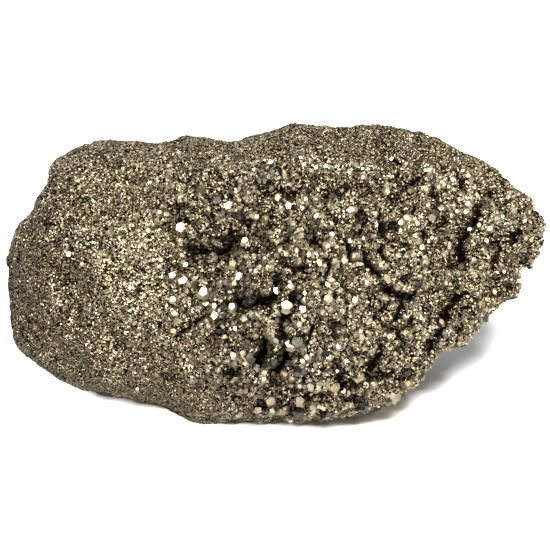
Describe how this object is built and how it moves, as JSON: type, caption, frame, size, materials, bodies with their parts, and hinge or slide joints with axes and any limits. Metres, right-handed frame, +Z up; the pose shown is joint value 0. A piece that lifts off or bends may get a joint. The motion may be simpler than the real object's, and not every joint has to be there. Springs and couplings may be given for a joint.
{
  "type": "pyrite specimen",
  "caption": "Rough oblong mass of intergrown pyrite crystals, fine grained at one end and coarse in the middle, resting on a flat underside.",
  "frame": {"origin": "centre of the footprint, on the surface that the specimen rests on", "axes": "+X along the length from the fine-grained end to the pointed end, +Y towards the back, +Z up"},
  "size_m": [0.2268, 0.1365, 0.1217],
  "materials": {
    "pyrite": "brassy metallic crystal facets with dark golden-brown crevices"
  },
  "bodies": {
    "root": {"pyrite_mass": "pyrite"}
  },
  "joints": []
}
